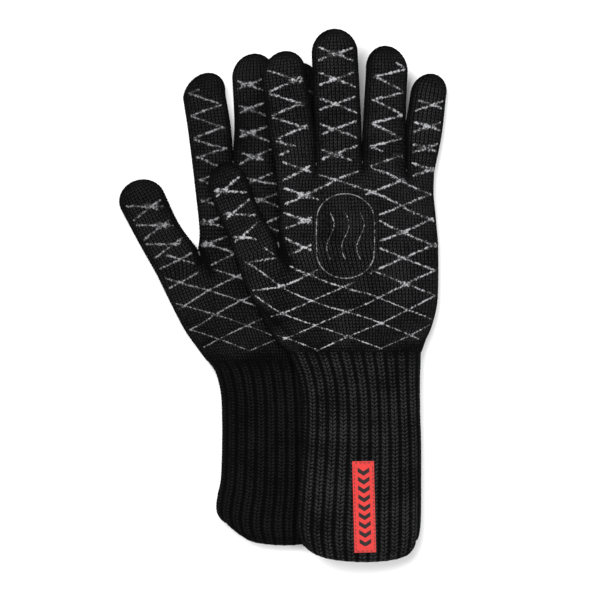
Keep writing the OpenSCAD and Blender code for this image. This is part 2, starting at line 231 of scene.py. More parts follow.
def catmull(points, t):
    """Points of a smooth curve through points, at t from 0 to len(points) - 1."""
    p = np.asarray(points, float)
    p = np.concatenate([[2 * p[0] - p[1]], p, [2 * p[-1] - p[-2]]])
    t = np.asarray(t, float)
    i = np.minimum(t.astype(int), len(p) - 4)
    f = (t - i)[:, None]
    a, b, c, d = p[i], p[i + 1], p[i + 2], p[i + 3]
    return b + f * (c - a) / 2 + f**2 * (a - 2.5 * b + 2 * c - d / 2) + f**3 * (1.5 * (b - c) + (d - a) / 2)


def even_curve(points, straight=False):
    """A function from 0..1, by length, to points of the curve through points."""
    p = np.asarray(points, float)
    dense = p if straight else catmull(p, np.linspace(0, len(p) - 1, 40 * len(p)))
    s = np.concatenate([[0], np.cumsum(np.linalg.norm(np.diff(dense, axis=0), axis=1))])
    s = s / s[-1]

    def at(t):
        return np.stack([np.interp(t, s, dense[:, k]) for k in (0, 1)], -1)
    return at


def half_section(width, thick, edge, n):
    """The upper half of a section as n + 1 evenly spaced points: part of the way across, and height."""
    f = 0.5 - 0.5 * np.cos(np.linspace(0, np.pi, 301))
    inward = np.minimum(f, 1 - f) * width
    z = thick * np.sqrt(1 - np.clip(1 - inward / min(edge, width / 2), 0, 1)**2)
    s = np.concatenate([[0], np.cumsum(np.hypot(np.diff(f) * width, np.diff(z)))])
    t = np.linspace(0, s[-1], n + 1)
    return np.interp(t, s, f), np.interp(t, s, z)


def ring(base, z):
    """Closed rings: over the top from left to right, and back underneath."""
    over = np.concatenate([base, z[..., None]], -1)
    under = np.concatenate([base, -z[..., None]], -1)
    return np.concatenate([over, under[..., -2:0:-1, :]], -2)


def patch(left, right, bottom, top, lobes, rows, thick, edge=EDGE, split=SPLIT):
    """A hand or cuff section between four curves. lobes are the (width, half thickness, edge,
    columns) that its top row parts into. Returns rows of rings."""
    widths = np.array([lobe[0] for lobe in lobes])
    starts = np.concatenate([[0], np.cumsum(widths)]) / widths.sum()
    columns = sum(lobe[3] for lobe in lobes)
    f_top, z_top = [np.zeros(1)], [np.zeros(1)]
    for k, lobe in enumerate(lobes):
        f, z = half_section(*lobe)
        f_top.append((starts[k] + f * (starts[k + 1] - starts[k]))[1:])
        z_top.append(z[1:])
    f_top, z_top = np.concatenate(f_top), np.concatenate(z_top)
    corners = [c(np.array([t]))[0] for c, t in ((bottom, 0), (bottom, 1), (top, 0), (top, 1))]
    reach = np.linalg.norm(corners[2] - corners[0])
    out = []
    for r in np.linspace(0, 1, rows + 1):
        a, b = left(np.array([r]))[0], right(np.array([r]))[0]
        f_one, z_one = half_section(np.linalg.norm(b - a), thick(r), edge, columns)
        part = smooth(1 - (1 - r) * reach / split) ** 1.5 if len(lobes) > 1 else r**4
        f = f_one + (f_top - f_one) * part
        z = z_one + (z_top - z_one) * part
        g = f[:, None]
        flat = (1 - g) * a + g * b + (1 - r) * bottom(f) + r * top(f)
        flat -= (1 - g) * ((1 - r) * corners[0] + r * corners[2])
        flat -= g * ((1 - r) * corners[1] + r * corners[3])
        out.append(ring(flat, z))
    return np.array(out)


def digit_rings(stations, columns, step):
    """A digit's rings from its root to its tip."""
    pairs = np.array(stations[:-1], float).reshape(len(stations) - 1, 4)
    tip = np.array(stations[-1], float)
    dense = catmull(pairs, np.linspace(0, len(pairs) - 1, 120))
    centre, half = (dense[:, :2] + dense[:, 2:]) / 2, (dense[:, 2:] - dense[:, :2]) / 2
    turn = np.linspace(0, math.pi / 2, 60)[1:, None]
    centre = np.concatenate([centre, centre[-1] + (tip - centre[-1]) * np.sin(turn)])
    cap = np.concatenate([np.ones((len(dense), 1)), np.maximum(np.cos(turn), 0.015)])
    half = np.concatenate([half, np.repeat(half[-1:], len(turn), 0)])
    surface = np.concatenate([[0], np.cumsum(np.hypot(
        np.linalg.norm(np.diff(centre, axis=0), axis=1), np.diff(cap[:, 0]) * DIGIT_T))])
    rows = COURSE_ROWS * max(4, round(surface[-1] / step / COURSE_ROWS))
    t = np.linspace(0, surface[-1], rows + 1)
    pick = lambda v: np.stack([np.interp(t, surface, v[:, k]) for k in range(v.shape[1])], -1)
    centre, half, cap = pick(centre), pick(half), pick(cap)
    out = []
    for c, h, k in zip(centre, half, cap[:, 0]):
        width = 2 * np.linalg.norm(h)
        f, z = half_section(width, DIGIT_T, width / 2, columns)
        out.append(ring(c + (2 * f[:, None] - 1) * h * k, z * k))
    return np.array(out)


# ---- meshes ----

def stitch_height(u, v):
    """Height, 0 to 1, of a stocking stitch at u wales across and v courses up: two slanted legs
    that meet in the middle of the wale, with a groove between one wale and the next."""
    a = np.abs(u % 1 - 0.5) * 2
    side = (1 - 0.3 * smooth(1 - a / 0.25)) * (1 - smooth((a - 0.5) / 0.5))
    return side * (0.45 + 0.55 * np.sin(np.pi * ((v - 0.9 * a) % 1)))


def rib_height(u, v):
    """The same for a cuff's ribs, u counted in ribs."""
    a = np.abs(u % 1 - 0.5) * 2
    leg = np.clip(a / RIB_LEG, 0, 1)
    side = 1 - 0.25 * smooth(1 - leg / 0.25)
    return smooth((1.02 - a) / 0.42) * (0.6 + 0.4 * side * np.sin(np.pi * ((v - 0.9 * leg) % 1)))


def lump(points):
    """Slow unevenness of soft fabric, from -1 to 1, at flat points."""
    x, y, z = points[..., 0], points[..., 1], points[..., 2]
    side = np.where(z > 0, 1.3, 4.1)
    wave = np.sin(x / 9.1 + y / 14.3 + side) + np.sin(x / 13.7 - y / 10.9 + 2.1 * side)
    return (wave + np.sin(x / 6.3 + 1.7 * side) * np.sin(y / 7.9)) / 3


def grid_faces(rows, columns, start=0):
    """Quads of a closed grid whose rows have this many columns."""
    i, j = np.meshgrid(np.arange(rows - 1), np.arange(columns), indexing="ij")
    k = (j + 1) % columns
    quads = np.stack([i * columns + j, i * columns + k, (i + 1) * columns + k, (i + 1) * columns + j], -1)
    return quads.reshape(-1, 4) + start, i.ravel(), j.ravel()


def build(name, glove, grids, material, height=None, lift=0.0, weld=False):
    """A mesh of one or more flat ring grids: (rings, first wale, first course, wales a column,
    courses a row). height(u, v) in mm moves it along its normals, and so does lift."""
    points, faces, uvs, at = [], [], [], []
    start = 0
    for rings, u0, v0, du, dv in grids:
        rows, columns = rings.shape[:2]
        quads, i, j = grid_faces(rows, columns, start)
        points.append(rings.reshape(-1, 3))
        faces.append(quads)
        u, v = u0 + j * du, v0 + i * dv
        uvs.append(np.stack([np.stack([u, v], -1), np.stack([u + du, v], -1),
                             np.stack([u + du, v + dv], -1), np.stack([u, v + dv], -1)], 1))
        r, c = np.meshgrid(np.arange(rows), np.arange(columns), indexing="ij")
        at.append(np.stack([u0 + c.ravel() * du, v0 + r.ravel() * dv], -1))
        start += rows * columns
    flat, faces, uvs, at = (np.concatenate(a) for a in (points, faces, uvs, at))
    laid = place(glove, flat)
    mesh = bpy.data.meshes.new(name)
    mesh.from_pydata(laid.tolist(), [], faces.tolist())
    mesh.uv_layers.new(name="stitch").data.foreach_set("uv", uvs.reshape(-1).astype(np.float32))
    # Painted shade, kept as a vertex colour: darker at the edges, in the creases and where the ribs draw the
    # hand in.
    painted_lightness = np.ones((len(flat), 4), np.float32)
    painted_lightness[:, :3] = painted_shade(glove, flat)[:, None]
    mesh.color_attributes.new("painted_shade", "FLOAT_COLOR", "POINT").data.foreach_set("color", painted_lightness.ravel())
    normals = np.zeros(len(flat) * 3, np.float32)
    mesh.vertex_normals.foreach_get("vector", normals)
    move = np.full(len(flat), lift)
    if height is not None:
        move = move + height(at[:, 0], at[:, 1])
    laid = laid + normals.reshape(-1, 3) * move[:, None] * MM
    mesh.vertices.foreach_set("co", laid.reshape(-1).astype(np.float32))
    return finish_mesh(name, mesh, material, weld)


def finish_mesh(name, mesh, material, weld=False):
    if weld:
        bm = bmesh.new()
        bm.from_mesh(mesh)
        bmesh.ops.remove_doubles(bm, verts=bm.verts, dist=2e-6)
        bm.to_mesh(mesh)
        bm.free()
    mesh.shade_smooth()
    mesh.update()
    mesh.materials.append(material)
    obj = bpy.data.objects.new(name, mesh)
    bpy.context.scene.collection.objects.link(obj)
    return obj


# ---- materials ----

class Nodes:
    """A short way to write a material's node tree."""

    def __init__(self, name):
        self.material = bpy.data.materials.new(name)
        self.material.use_nodes = True
        self.tree = self.material.node_tree
        self.shader = self.tree.nodes["Principled BSDF"]

    def add(self, kind, inputs=None, **settings):
        node = self.tree.nodes.new(kind)
        for key, value in settings.items():
            setattr(node, key, value)
        for key, value in (inputs or {}).items():
            self.put(node.inputs[key], value)
        return node

    def put(self, socket, value):
        if isinstance(value, bpy.types.NodeSocket):
            self.tree.links.new(value, socket)
        else:
            socket.default_value = value

    def math(self, operation, *values):
        return self.add("ShaderNodeMath", dict(enumerate(values)), operation=operation).outputs[0]

    def weave(self, u, v, across, along):
        """Threads that pass over and under each other, across and along the cloth."""
        return self.math("MULTIPLY", self.math("SINE", self.math("MULTIPLY", u, across)),
                         self.math("SINE", self.math("MULTIPLY", v, along)))

    def noise(self, scale, detail=2.0):
        vector = self.add("ShaderNodeTexCoord").outputs["Object"]
        node = self.add("ShaderNodeTexNoise", {"Vector": vector, "Scale": scale, "Detail": detail})
        return node.outputs["Fac"]

    def ramp(self, value, stops):
        node = self.add("ShaderNodeValToRGB", {"Fac": value})
        items = node.color_ramp.elements
        while len(items) < len(stops):
            items.new(0.5)
        for item, (place_at, colour) in zip(items, stops):
            item.position = place_at
            item.color = (*colour, 1)
        return node.outputs["Color"]

    def uv(self, name):
        node = self.add("ShaderNodeUVMap", uv_map=name)
        parts = self.add("ShaderNodeSeparateXYZ", {"Vector": node.outputs[0]})
        return parts.outputs[0], parts.outputs[1]

    def bump(self, height, distance, strength=1.0):
        node = self.add("ShaderNodeBump", {"Height": height, "Distance": distance, "Strength": strength})
        self.put(self.shader.inputs["Normal"], node.outputs[0])

    def set(self, **values):
        for key, value in values.items():
            self.put(self.shader.inputs[key.replace("_", " ")], value)


def grey(v):
    return (v, v, v * 1.04)


def knit_material(name, ribbed, tone):
    """Yarn in stocking stitch, or in ribs: two slanted legs a stitch, with painted shade between them and a
    painted highlight on them.
    """
    n = Nodes(name)
    u, v = n.uv("stitch")
    across = n.math("MULTIPLY", n.math("ABSOLUTE", n.math("SUBTRACT", n.math("FRACT", u), 0.5)), 2.0)
    reach = RIB_LEG if ribbed else 1.0
    leg = n.math("MINIMUM", n.math("DIVIDE", across, reach), 1.0)
    middle = n.math("SUBTRACT", 1.0, n.math("MULTIPLY", n.math("LESS_THAN", leg, 0.14), 0.4))
    groove = n.add("ShaderNodeMapRange", {"Value": leg, "From Min": 0.5, "From Max": 1.0, "To Min": 1.0,
                                          "To Max": 0.0}, interpolation_type="SMOOTHSTEP").outputs[0]
    slant = n.math("FRACT", n.math("SUBTRACT", v, n.math("MULTIPLY", leg, 0.9)))
    run = n.math("MAXIMUM", n.math("SINE", n.math("MULTIPLY", slant, math.pi)), 0.0)
    run = n.math("ADD", n.math("MULTIPLY", run, 0.75), 0.25)
    height = n.math("MULTIPLY", n.math("MULTIPLY", middle, groove), run)
    if ribbed:
        purl = n.math("MULTIPLY", n.math("SUBTRACT", 1.0, groove), n.math("SUBTRACT", 1.0, run))
        height = n.math("ADD", height, n.math("MULTIPLY", purl, 0.75))
    fibre = n.noise(1300.0, 3.0)
    patchy = n.noise(45.0, 3.0)
    # Painted shade at the edges, in the creases and where the ribs draw the hand in, from the vertex colours.
    shade_attribute = n.add("ShaderNodeVertexColor", layer_name="painted_shade").outputs["Color"]
    # The colour follows the stitch height: painted shade in the grooves and a painted highlight on the legs,
    # varied by the yarn's own speckle and patches.
    shade = n.math("MULTIPLY", height, n.math("SUBTRACT", n.math("MULTIPLY", fibre, 3.0), 0.45))
    shade = n.math("MULTIPLY", shade, n.math("ADD", n.math("MULTIPLY", patchy, 1.4), 0.35))
    shade = n.math("MULTIPLY", shade, n.math("POWER", shade_attribute, 0.6))
    colour = n.ramp(shade, [(0.0, grey(0.0006 * tone)), (0.3, grey(0.004 * tone)),
                            (0.65, grey(0.03 * tone)), (1.0, grey(0.16 * tone))])
    n.set(Base_Color=colour, Roughness=0.9, Specular_IOR_Level=0.06, Sheen_Weight=0.0)
    n.bump(n.math("ADD", height, n.math("MULTIPLY", fibre, 0.6)), 0.0009, 1.0)
    return n.material


def lining_material():
    n = Nodes("lining_cotton")
    u, v = n.uv("stitch")
    threads = n.weave(u, v, 12.57, 12.57)
    fuzz = n.noise(900.0, 4.0)
    n.set(Base_Color=n.ramp(fuzz, [(0.3, grey(0.03)), (0.75, grey(0.11))]), Roughness=0.95,
          Specular_IOR_Level=0.15, Sheen_Weight=0.2)
    n.bump(n.math("ADD", threads, n.math("MULTIPLY", fuzz, 0.8)), 0.0004, 0.7)
    return n.material


def silicone_material(name, tone):
    """Pale grey silicone, worn through to the dark yarn in places and most of all along its edges."""
    n = Nodes(name)
    u, v = n.uv("stitch")
    middle = n.math("SUBTRACT", 1.0, n.math("MULTIPLY", n.math("ABSOLUTE", n.math("SUBTRACT", u, 0.5)), 2.0))
    coarse = n.noise(200.0, 2.0)
    fine = n.noise(800.0, 3.0)
    cover = n.math("ADD", n.math("MULTIPLY", coarse, 2.2), n.math("MULTIPLY", fine, 2.8))
    cover = n.math("ADD", n.math("SUBTRACT", cover, 2.35), n.math("MULTIPLY", middle, 0.5))
    colour = n.ramp(cover, [(0.25, grey(0.003)), (0.4, grey(0.03 * tone)), (0.6, grey(0.12 * tone)),
                            (0.95, grey(0.28 * tone))])
    n.set(Base_Color=colour, Roughness=n.math("ADD", n.math("MULTIPLY", fine, 0.3), 0.4),
          Specular_IOR_Level=0.2)
    n.bump(fine, 0.0005, 0.7)
    return n.material


def label_material():
    """Red woven tape with a row of plain chevrons."""
    n = Nodes("label_tape")
    u, v = n.uv("stitch")
    arm = n.math("ABSOLUTE", n.math("SUBTRACT", u, 0.5))
    step = n.math("FRACT", n.math("SUBTRACT", n.math("MULTIPLY", v, 11.0), n.math("MULTIPLY", arm, 1.6)))
    marks = n.math("MULTIPLY", n.math("LESS_THAN", step, 0.5), n.math("LESS_THAN", arm, 0.27))
    ends = n.math("MULTIPLY", n.math("GREATER_THAN", v, 0.1), n.math("LESS_THAN", v, 0.9))
    marks = n.math("MULTIPLY", marks, ends)
    red = n.ramp(n.noise(700.0, 3.0), [(0.3, (0.56, 0.03, 0.027)), (0.7, (0.7, 0.042, 0.037))])
    mix = n.add("ShaderNodeMix", data_type="RGBA")
    n.put(mix.inputs["Factor"], marks)
    n.put(mix.inputs["A"], red)
    n.put(mix.inputs["B"], (0.012, 0.010, 0.010, 1))
    n.set(Base_Color=mix.outputs["Result"], Roughness=0.7, Specular_IOR_Level=0.3, Sheen_Weight=0.1)
    n.bump(n.weave(u, v, 240.0, 900.0), 0.00015, 0.7)
    return n.material


def thread_material():
    n = Nodes("label_thread")
    twist = n.noise(4000.0, 2.0)
    n.set(Base_Color=n.ramp(twist, [(0.3, (0.02, 0.012, 0.012)), (0.8, (0.09, 0.03, 0.03))]), Roughness=0.6)
    n.bump(twist, 0.0001, 0.6)
    return n.material


# The lower glove's knit, ribs and silicone are darker copies of the upper glove's: painted shade over the
# same yarn and silicone. Both cuffs are darker than their palms.
KNIT = {"left": knit_material("knit_left", False, 0.17), "right": knit_material("knit_right", False, 0.13)}
RIB = {"left": knit_material("rib_left", True, 0.15), "right": knit_material("rib_right", True, 0.045)}
LINING = lining_material()
GRIP = {"left": silicone_material("silicone_left", 1.05), "right": silicone_material("silicone_right", 0.6)}
EMBLEM = silicone_material("silicone_emblem", 0.7)
LABEL = label_material()
THREAD = thread_material()


# ---- fabric ----

def width_of(pair):
    return math.dist(*pair)


def columns_for(width, thick, edge):
    """Grid columns across one face, a whole number of stitches."""
    f = np.linspace(0, 1, 400)
    inward = np.minimum(f, 1 - f) * width
    z = thick * np.sqrt(1 - np.clip(1 - inward / min(edge, width / 2), 0, 1)**2)
    arc = np.hypot(np.diff(f) * width, np.diff(z)).sum()
    return WALE_COLS * round(arc / WALE)


def draw_glove(glove, columns_of, step):
    """All ring grids of a glove's knit, flat, in mm."""
    n = {d: columns_of(width_of(glove[d][0]), DIGIT_T, 99) for d in DIGITS}
    fingers = DIGITS[1:]
    knuckles = [glove["index"][0][0]] + [glove[d][0][1] for d in fingers]
    hand_n = sum(n[d] for d in fingers)
    crotch, edge = glove["thumb"][0][1], glove["heel_side"][-1]
    hand_w = math.dist(crotch, edge)
    thumb_w = width_of(glove["thumb"][0])
    root = glove["thumb"][0][0]
    low_lobes = [(thumb_w, DIGIT_T, 99, n["thumb"]), (hand_w, PALM_T, EDGE, hand_n)]
    top_lobes = [(width_of(glove[d][0]), DIGIT_T, 99, n[d]) for d in fingers]
    low_rows, high_rows, cuff_rows = (
        COURSE_ROWS * round(length / step / COURSE_ROWS) for length in (LOW_L, HIGH_L, CUFF_L))
    start, corner = glove["thumb_side"][0], glove["heel_side"][0]
    wrist = even_curve([start, corner], True)
    lower = patch(even_curve(glove["thumb_side"]), even_curve(glove["heel_side"]), wrist,
                  even_curve([root, crotch, edge], True), low_lobes, low_rows,
                  lambda r: CUFF_T + (PALM_T - CUFF_T) * smooth(3 * r))
    upper = patch(even_curve(glove["index_side"]), even_curve(glove["little_side"]),
                  even_curve([crotch, edge], True), even_curve(knuckles, True), top_lobes, high_rows,
                  lambda r: PALM_T)
    total = n["thumb"] + hand_n
    cuff = patch(even_curve(glove["cuff_thumb"]), even_curve(glove["cuff_heel"]), even_curve(glove["mouth"]),
                 wrist, [(width_of((start, corner)), CUFF_T, EDGE, total)], cuff_rows, lambda r: CUFF_T)
    digits = {d: digit_rings(glove[d], n[d], step) for d in DIGITS}
    return {"lower": lower, "upper": upper, "cuff": cuff, "digits": digits, "columns": n}


def crease_depth(glove, x, y):
    """How deep the creases in a glove's upper face are at flat points, in mm."""
    depth = np.zeros_like(x)
    for x0, y0, x1, y1, deep, width in glove["creases"]:
        dx, dy = x1 - x0, y1 - y0
        along = np.clip(((x - x0) * dx + (y - y0) * dy) / (dx * dx + dy * dy), 0, 1)
        away = np.hypot(x - x0 - along * dx, y - y0 - along * dy)
        depth += deep * np.exp(-(away / width)**2)
    return depth


def uneven(glove, rings):
    """Adds the fabric's slow unevenness, and the creases in its upper face, to a flat grid."""
    out = rings.copy()
    x, y, z = (rings[..., k] for k in range(3))
    out[..., 2] *= 1 + 0.05 * lump(rings)
    out[..., 2] -= crease_depth(glove, x, y) * np.clip(z / 5, 0, 1)
    return out


def painted_shade(glove, flat):
    """Painted shade on the yarn, as a brightness from 0 to 1: brightest on the faces, darkest at the edges,
    in the creases and between the fingers, and where the ribs draw the hand in."""
    x, y, z = (flat[..., k] for k in range(3))
    painted_lightness = 0.12 + 0.88 * smooth(np.abs(z) / DIGIT_T)**1.2
    painted_lightness *= 1 - 0.28 * np.clip(crease_depth(glove, x, y), 0, 2)
    return painted_lightness * (1 - 0.45 * np.exp(-((y - glove["thumb_side"][0][1] - 1) / 6)**2))


def palm_grids(glove, drawn, cols, rows):
    """The palm's two grids. Below the thumb's crotch, where it narrows, its stitches are wider."""
    high = len(drawn["lower"]) - 1
    wide = 1 / cols * LOW_WALES
    return [(uneven(glove, drawn["lower"]), 0, 0, wide, 1 / rows),
            (uneven(glove, drawn["upper"]), 0, high / rows, 1 / cols, 1 / rows)]


def blend_digit(obj, glove, digit):
    """Bakes a digit's placing into its mesh. Its root and the way along it are worked out but not used."""
    pairs = glove[digit]
    root = np.mean(np.array(pairs[0]), 0)
    ahead = np.mean(np.array(pairs[1]), 0) - root
    ahead = ahead / np.linalg.norm(ahead)
    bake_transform(obj)


def blend_cuff(obj, glove):
    """Bakes the cuff's placing into its mesh. The wrist joint's place and points above and below it are
    worked out but not used.
    """
    x = sum(p[0] for p in (glove["thumb_side"][0], glove["heel_side"][0])) / 2
    joint_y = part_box(glove["side"] + "_palm_knit")[0][1] / MM
    ends = [np.array([x, joint_y + d, 0.0]) for d in (3.0, -BEND)]
    start, end = (place(glove, e) for e in ends)
    start[2] = end[2]
    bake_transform(obj)


def stand_for(obj, glove, node):
    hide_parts(glove["side"] + "_" + node)
    return obj


def make_knit(glove, drawn):
    side = glove["side"]
    palm = build(side + "_palm_fabric", glove, palm_grids(glove, drawn, WALE_COLS, COURSE_ROWS), KNIT[side],
                 lambda u, v: STITCH_H * stitch_height(u, v), weld=True)
    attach(stand_for(palm, glove, "palm_knit"), side + "_palm")
    for d in DIGITS:
        rings = uneven(glove, drawn["digits"][d])
        obj = build(f"{side}_{d}_fabric", glove, [(rings, 0, 0, 1 / WALE_COLS, 1 / COURSE_ROWS)], KNIT[side],
                    lambda u, v: STITCH_H * stitch_height(u, v))
        stand_for(obj, glove, d + "_knit")
        blend_digit(obj, glove, d)


def cuff_grid(glove, drawn):
    """The cuff as one grid, from its mouth to the wrist, with ribs for its wales."""
    cuff = uneven(glove, drawn["cuff"])
    columns = cuff.shape[1]
    return cuff, 2 * RIBS / columns, 1 / COURSE_ROWS


def make_cuff(glove, drawn):
    side = glove["side"]
    cuff, du, dv = cuff_grid(glove, drawn)
    hem_rows = 2 * COURSE_ROWS
    top = (len(cuff) - 1) * dv
    obj = build(side + "_cuff_fabric", glove, [(cuff[hem_rows:], 0, hem_rows * dv, du, dv)], RIB[side],
                lambda u, v: RIB_H * rib_height(u, v) * smooth((top - v) / RIB_FADE))
    stand_for(obj, glove, "cuff_knit")
    blend_cuff(obj, glove)
    fold = [cuff[hem_rows], *cuff[hem_rows - 1::-1]]
    centre = cuff[0].mean(0)
    reach = np.array([np.ptp(cuff[0][:, 0]) / 2, 1.0, CUFF_T])
    radius = 1.5
    for turn in np.linspace(0, math.pi, 9)[1:]:
        inner = cuff[0] - (cuff[0] - centre) * np.array([1, 0, 1]) / reach * radius * (1 - math.cos(turn))
        inner[:, 1] = cuff[0][:, 1] - radius * math.sin(turn)
        fold.append(inner)
    for up in (2.0, 4.0, 6.0):
        inner = fold[-1].copy()
        inner[:, 1] += 2.0
        fold.append(inner)
    obj = build(side + "_cuff_edge", glove, [(np.array(fold), 0, hem_rows * dv, du, -dv)], RIB[side],
                lambda u, v: 0.25 + 0.3 * RIB_H * rib_height(u, v))
    obj.data.flip_normals()
    stand_for(obj, glove, "cuff_hem")
    blend_cuff(obj, glove)


def make_lining(glove):
    """The soft inner glove, a coarser grid a wall's thickness inside the knit."""
    side = glove["side"]
    coarse = draw_glove(glove, lambda w, t, e: 4 * round((w + t) / 8), 4.0)
    palm = build(side + "_palm_inside", glove, palm_grids(glove, coarse, 1, 1), LINING, lift=-WALL, weld=True)
    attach(stand_for(palm, glove, "palm_lining"), side + "_palm")
    for d in DIGITS:
        obj = build(f"{side}_{d}_inside", glove, [(coarse["digits"][d], 0, 0, 1, 1)], LINING, lift=-WALL)
        stand_for(obj, glove, d + "_lining")
        blend_digit(obj, glove, d)
    obj = build(side + "_cuff_inside", glove, [(coarse["cuff"][1:], 0, 0, 1, 1)], LINING, lift=-WALL)
    stand_for(obj, glove, "cuff_lining")
    blend_cuff(obj, glove)


# ---- silicone grip ----

class Skin:
    """Finds the surface of a flat drawn glove, and which piece it is, above or below a point."""

    def __init__(self, glove, drawn):
        points, faces, self.owner = [], [], []
        parts = [("palm", drawn["lower"]), ("palm", drawn["upper"]), ("cuff", drawn["cuff"])]
        parts += list(drawn["digits"].items())
        start = 0
        for name, rings in parts:
            rings = uneven(glove, rings)[::2, ::2]
            quads = grid_faces(*rings.shape[:2], start)[0]
            points += rings.reshape(-1, 3).tolist()
            faces += quads.tolist()
            self.owner += [name] * len(quads)
            start = len(points)
        self.tree = BVHTree.FromPolygons(points, faces)

    def find(self, x, y, face):
        """(point, outward normal, piece name) on the upper face for 1 or the lower for -1, or None."""
        hit, normal, index, _ = self.tree.ray_cast(Vector((x, y, 40 * face)), Vector((0, 0, -face)))
        if hit is None:
            return None
        if normal.z * face < 0:
            normal = -normal
        return hit, normal, self.owner[index]


def wave(t, seed):
    """Uneven swelling along a bead, about -1 to 1, that repeats for the same seed."""
    return (np.sin(t * 1.9 + seed) + np.sin(t * 3.1 + 2.3 * seed) + np.sin(t * 5.3 + 1.1 * seed)) / 3


def slip(glove, p):
    """How far the print has moved with the fabric at points p of its lattice."""
    table = np.array(glove["slips"], float)
    near = np.exp(-((p[:, None] - table[:, :2])**2).sum(-1) / (2 * SLIP_REACH**2)) + 1e-6
    return near @ table[:, 2:] / near.sum(1)[:, None]


def on_digit(glove, digit, p):
    """Where points p of the palm's lattice lie on a digit. It has its own lattice, given by one
    crossing, the step to the next one and a lean, and it joins the palm's at the root."""
    cell, spot, step, lean = glove["prints"][digit]
    crossing = np.array(glove["grid"]) + np.array(cell) * (GRID_X, GRID_Y)
    lean = math.radians(lean)
    turn = np.array([[math.cos(lean), math.sin(lean)], np.array(step) / (2 * GRID_Y)])
    laid = np.array(spot) + (p - crossing) @ turn
    root = np.mean(glove[digit][0], 0)
    ahead = np.mean(glove[digit][1], 0) - root
    part = smooth((laid - root) @ ahead / np.linalg.norm(ahead) / ROOT_BLEND)[:, None]
    on_palm = p + slip(glove, p)
    torn = np.linalg.norm(laid - on_palm, axis=1) * (part * (1 - part))[:, 0] > TEAR
    return np.where(torn[:, None], np.nan, (1 - part) * on_palm + part * laid)


def on_hand(glove, piece, p):
    return p + slip(glove, p) if piece == "palm" else on_digit(glove, piece, p)


def lattice_lines(glove, reach=190):
    """The lattice's lines, as points of the unmoved lattice, down to where the ribs begin."""
    along = np.arange(-reach, reach, STEP)
    for slope in (GRID_LEAN, -GRID_LEAN):
        for k in range(-int(reach / GRID_Y), int(reach / GRID_Y) + 1):
            line = np.stack([along * math.cos(slope), along * math.sin(slope) + 2 * GRID_Y * k], -1)
            line = line + np.array(glove["grid"])
            line = line[(line[:, 1] > glove["grid_end"]) & (line[:, 1] < 200)]
            if len(line) > 1:
                yield line


def crossings(glove, reach=190):
    for i in range(-int(reach / GRID_X), int(reach / GRID_X) + 1):
        for k in range(-int(reach / GRID_Y), int(reach / GRID_Y) + 1):
            if (i + k) % 2 == 0:
                yield np.array(glove["grid"]) + (i * GRID_X, k * GRID_Y)


def surface_runs(skin, path, face, keep):
    """Runs of surface points under a flat path, split where keep says no."""
    runs, run = [], []
    for x, y in path:
        found = None if math.isnan(x) else skin.find(x, y, face)
        if found and keep(x, y, found):
            run.append(found)
        elif run:
            runs.append(run)
            run = []
    runs.append(run)
    return [r for r in runs if len(r) > 7]


def ribbon(run, width, height, ragged=1.0, start=0.0):
    """A bead of silicone along a run of surface points: rows of five points, and where they are across it."""
    p = np.array([list(f[0]) for f in run])
    up = np.array([list(f[1]) for f in run])
    up[1:-1] = up[:-2] + up[1:-1] + up[2:]
    up /= np.linalg.norm(up, axis=1)[:, None]
    side = np.cross(up, np.gradient(p, axis=0))
    side /= np.linalg.norm(side, axis=1)[:, None] + 1e-9
    t = start + np.arange(len(p)) * STEP
    seed = p[0, 0] + 0.7 * p[0, 1]
    swell = 1 + ragged * (0.45 * wave(0.7 * t, seed) + 0.35 * wave(2.7 * t, 3 * seed))
    ends = np.minimum(np.arange(len(p)), np.arange(len(p))[::-1])
    swell = swell * np.sqrt(np.clip((ends + 0.6) / 2, 0, 1))
    stray = side * (0.22 * ragged * wave(1.3 * t, 5 * seed))[:, None]
    rows = []
    for k, rise in ((-1, -0.3), (-0.7, 0.6), (0, 1), (0.7, 0.6), (1, -0.3)):
        wide = k * width / 2 * swell * (1 + 0.25 * ragged * wave(2.1 * t, seed + 2 * k))
        rows.append(p + stray + side * wide[:, None] + up * (GRIP_LIFT + rise * height * swell)[:, None])
    return np.stack(rows, 1), [0.0, 0.2, 0.5, 0.8, 1.0]


def blob(skin, x, y, face, scale, height=0.62):
    """Silicone drawn out sideways where two lines cross, more at some crossings than at others."""
    size = scale * (1.6 + 1.5 * math.sin(3.7 * x + 2.3 * y)**2)
    rows = []
    for a in np.linspace(0, 2 * math.pi, 25):
        radius = size * (1.25 * abs(math.cos(a))**1.5 + 0.5 + 0.1 * math.cos(5 * a + x))
        row = []
        for part, rise in ((0.02, 1), (0.45, 0.86), (0.8, 0.45), (1, -0.3)):
            found = skin.find(x + part * radius * math.cos(a), y + part * radius * math.sin(a), face)
            if not found:
                return None
            row.append(list(found[0] + found[1] * (GRIP_LIFT + rise * height)))
        rows.append(row)
    return np.array(rows)[::-face], [0.5, 0.4, 0.2, 0.0]


def strips_mesh(name, glove, strips, material):
    """One mesh from many open strips, each rows of points and its points' places across."""
    points, faces, uvs = [], [], []
    start = 0
    for strip, across in strips:
        rows, columns = strip.shape[:2]
        i, j = np.meshgrid(np.arange(rows - 1), np.arange(columns - 1), indexing="ij")
        a = start + i * columns + j
        faces.append(np.stack([a, a + 1, a + columns + 1, a + columns], -1).reshape(-1, 4))
        points.append(place(glove, strip.reshape(-1, 3)))
        u, v = np.broadcast_arrays(np.array(across)[None, :], np.linspace(0, 1, rows)[:, None])
        uvs.append(np.stack([u.ravel(), v.ravel()], -1))
        start += rows * columns
    faces, uvs = np.concatenate(faces), np.concatenate(uvs)
    mesh = bpy.data.meshes.new(name)
    mesh.from_pydata(np.concatenate(points).tolist(), [], faces.tolist())
    mesh.uv_layers.new(name="stitch").data.foreach_set("uv", uvs[faces.ravel()].ravel().astype(np.float32))
    return finish_mesh(name, mesh, material)


